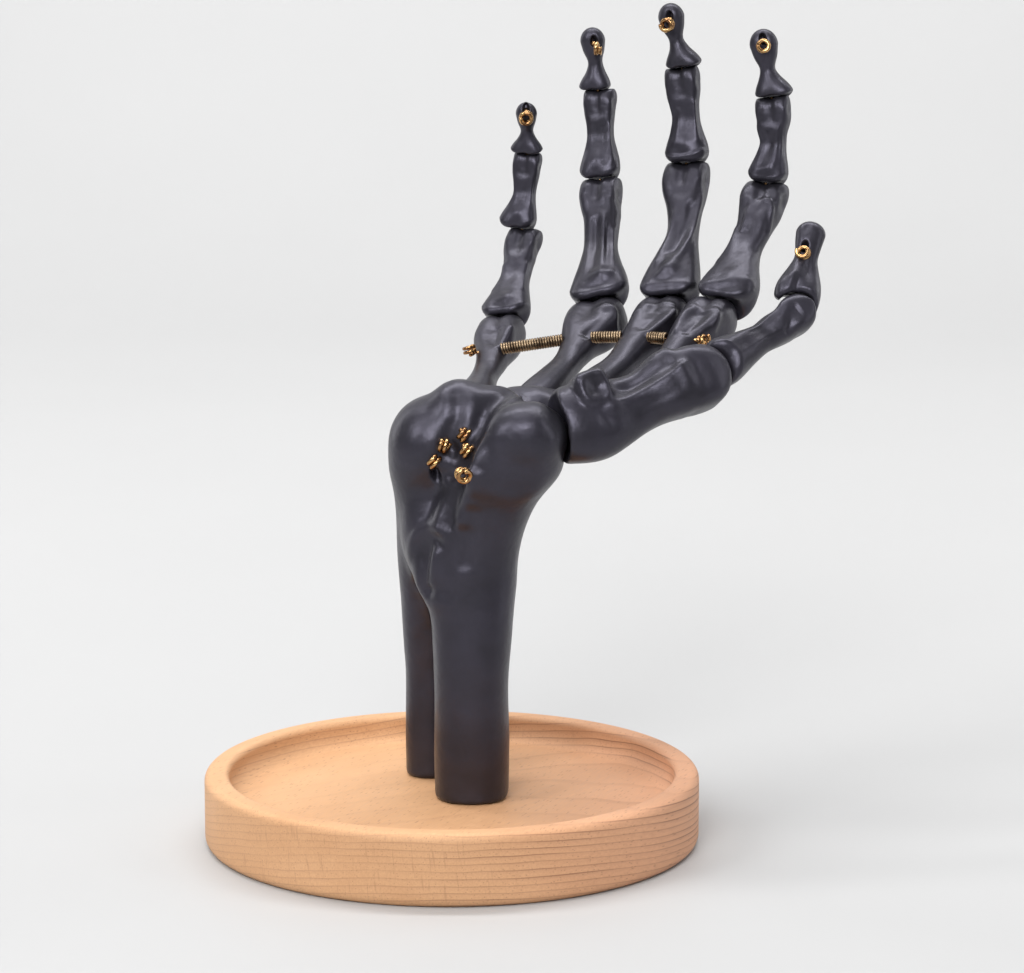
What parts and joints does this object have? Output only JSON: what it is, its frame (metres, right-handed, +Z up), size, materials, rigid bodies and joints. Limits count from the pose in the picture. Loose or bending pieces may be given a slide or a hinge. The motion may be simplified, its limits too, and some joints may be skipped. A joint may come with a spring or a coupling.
{
  "type": "skeleton hand jewelry stand",
  "caption": "Life-size articulated skeleton hand of black resin bones strung on brass wire, palm up on a forked forearm that stands in a turned beech dish, for rings, chains and a watch.",
  "frame": {"origin": "middle of the dish's underside, on the surface it stands on", "axes": "+Z up, +X to the right in the picture, +Y away from its camera"},
  "size_m": [0.163, 0.1669, 0.2139],
  "materials": {
    "beech": "matt oiled",
    "black_resin": "satin",
    "brass_wire": "drawn, slightly tarnished",
    "spring_brass": "drawn, dull",
    "screw_steel": "plain zinc"
  },
  "bodies": {
    "stand": {"beech_dish": "beech", "radius_screw": "screw_steel", "ulna_screw": "screw_steel", "forearm": "black_resin", "index_metacarpal": "black_resin", "middle_metacarpal": "black_resin", "ring_metacarpal": "black_resin", "little_metacarpal": "black_resin", "index_wrist_wire": "brass_wire", "middle_wrist_wire": "brass_wire", "ring_wrist_wire": "brass_wire", "little_wrist_wire": "brass_wire", "thumb_wrist_wire": "brass_wire", "cross_wire": "brass_wire", "little_ring_spring": "spring_brass", "ring_middle_spring": "spring_brass", "middle_index_spring": "spring_brass"},
    "index_proximal": {"index_proximal": "black_resin", "index_proximal_wire": "brass_wire"},
    "index_middle": {"index_middle": "black_resin", "index_middle_wire": "brass_wire"},
    "index_distal": {"index_distal": "black_resin", "index_tip_wire": "brass_wire"},
    "middle_proximal": {"middle_proximal": "black_resin", "middle_proximal_wire": "brass_wire"},
    "middle_middle": {"middle_middle": "black_resin", "middle_middle_wire": "brass_wire"},
    "middle_distal": {"middle_distal": "black_resin", "middle_tip_wire": "brass_wire"},
    "ring_proximal": {"ring_proximal": "black_resin", "ring_proximal_wire": "brass_wire"},
    "ring_middle": {"ring_middle": "black_resin", "ring_middle_wire": "brass_wire"},
    "ring_distal": {"ring_distal": "black_resin", "ring_tip_wire": "brass_wire"},
    "little_proximal": {"little_proximal": "black_resin", "little_proximal_wire": "brass_wire"},
    "little_middle": {"little_middle": "black_resin", "little_middle_wire": "brass_wire"},
    "little_distal": {"little_distal": "black_resin", "little_tip_wire": "brass_wire"},
    "thumb_metacarpal": {"thumb_metacarpal": "black_resin", "thumb_metacarpal_wire": "brass_wire"},
    "thumb_proximal": {"thumb_proximal": "black_resin", "thumb_proximal_wire": "brass_wire"},
    "thumb_distal": {"thumb_distal": "black_resin", "thumb_tip_wire": "brass_wire"}
  },
  "joints": [
    {"name": "index_mcp", "type": "hinge", "parent": "stand", "child": "index_proximal", "pos_m": [0.06881, 0.04817, 0.13041], "axis": [0.8599, -0.5081, -0.0486], "range_deg": [-25, 48]},
    {"name": "index_pip", "type": "hinge", "parent": "index_proximal", "child": "index_middle", "pos_m": [0.08498, 0.0726, 0.16106], "axis": [0.9147, -0.4024, -0.0373], "range_deg": [-15, 38]},
    {"name": "index_dip", "type": "hinge", "parent": "index_middle", "child": "index_distal", "pos_m": [0.08742, 0.0759, 0.18532], "axis": [0.9115, -0.375, 0.1691], "range_deg": [-15, 45]},
    {"name": "middle_mcp", "type": "hinge", "parent": "stand", "child": "middle_proximal", "pos_m": [0.0564, 0.05601, 0.12953], "axis": [0.92, -0.3785, 0.1016], "range_deg": [-25, 40]},
    {"name": "middle_pip", "type": "hinge", "parent": "middle_proximal", "child": "middle_middle", "pos_m": [0.06421, 0.08454, 0.16515], "axis": [0.9204, -0.3826, 0.0807], "range_deg": [-15, 38]},
    {"name": "middle_dip", "type": "hinge", "parent": "middle_middle", "child": "middle_distal", "pos_m": [0.06339, 0.08834, 0.19248], "axis": [0.9108, -0.3818, 0.1571], "range_deg": [-15, 40]},
    {"name": "ring_mcp", "type": "hinge", "parent": "stand", "child": "ring_proximal", "pos_m": [0.03942, 0.06192, 0.12833], "axis": [0.9345, -0.2844, 0.2139], "range_deg": [-25, 38]},
    {"name": "ring_pip", "type": "hinge", "parent": "ring_proximal", "child": "ring_middle", "pos_m": [0.0407, 0.09012, 0.16023], "axis": [0.9193, -0.369, 0.137], "range_deg": [-15, 44]},
    {"name": "ring_dip", "type": "hinge", "parent": "ring_middle", "child": "ring_distal", "pos_m": [0.03998, 0.09771, 0.18551], "axis": [0.9216, -0.3795, 0.081], "range_deg": [-15, 45]},
    {"name": "little_mcp", "type": "hinge", "parent": "stand", "child": "little_proximal", "pos_m": [0.01282, 0.06609, 0.12384], "axis": [0.9281, -0.3477, 0.1328], "range_deg": [-25, 44]},
    {"name": "little_pip", "type": "hinge", "parent": "little_proximal", "child": "little_middle", "pos_m": [0.01815, 0.08921, 0.14707], "axis": [0.9157, -0.4017, -0.0084], "range_deg": [-15, 38]},
    {"name": "little_dip", "type": "hinge", "parent": "little_middle", "child": "little_distal", "pos_m": [0.02007, 0.09313, 0.16894], "axis": [0.9345, -0.3518, -0.0536], "range_deg": [-15, 45]},
    {"name": "thumb_cmc", "type": "hinge", "parent": "stand", "child": "thumb_metacarpal", "pos_m": [0.0197, -0.008, 0.109], "axis": [0.1865, -0.8931, 0.4093], "range_deg": [-18, 18]},
    {"name": "thumb_mcp", "type": "hinge", "parent": "thumb_metacarpal", "child": "thumb_proximal", "pos_m": [0.06316, 0.00671, 0.12129], "axis": [0.2787, -0.8425, 0.4611], "range_deg": [-25, 25]},
    {"name": "thumb_ip", "type": "hinge", "parent": "thumb_proximal", "child": "thumb_distal", "pos_m": [0.08986, 0.02339, 0.13564], "axis": [0.1862, -0.8931, 0.4096], "range_deg": [-20, 32]}
  ]
}
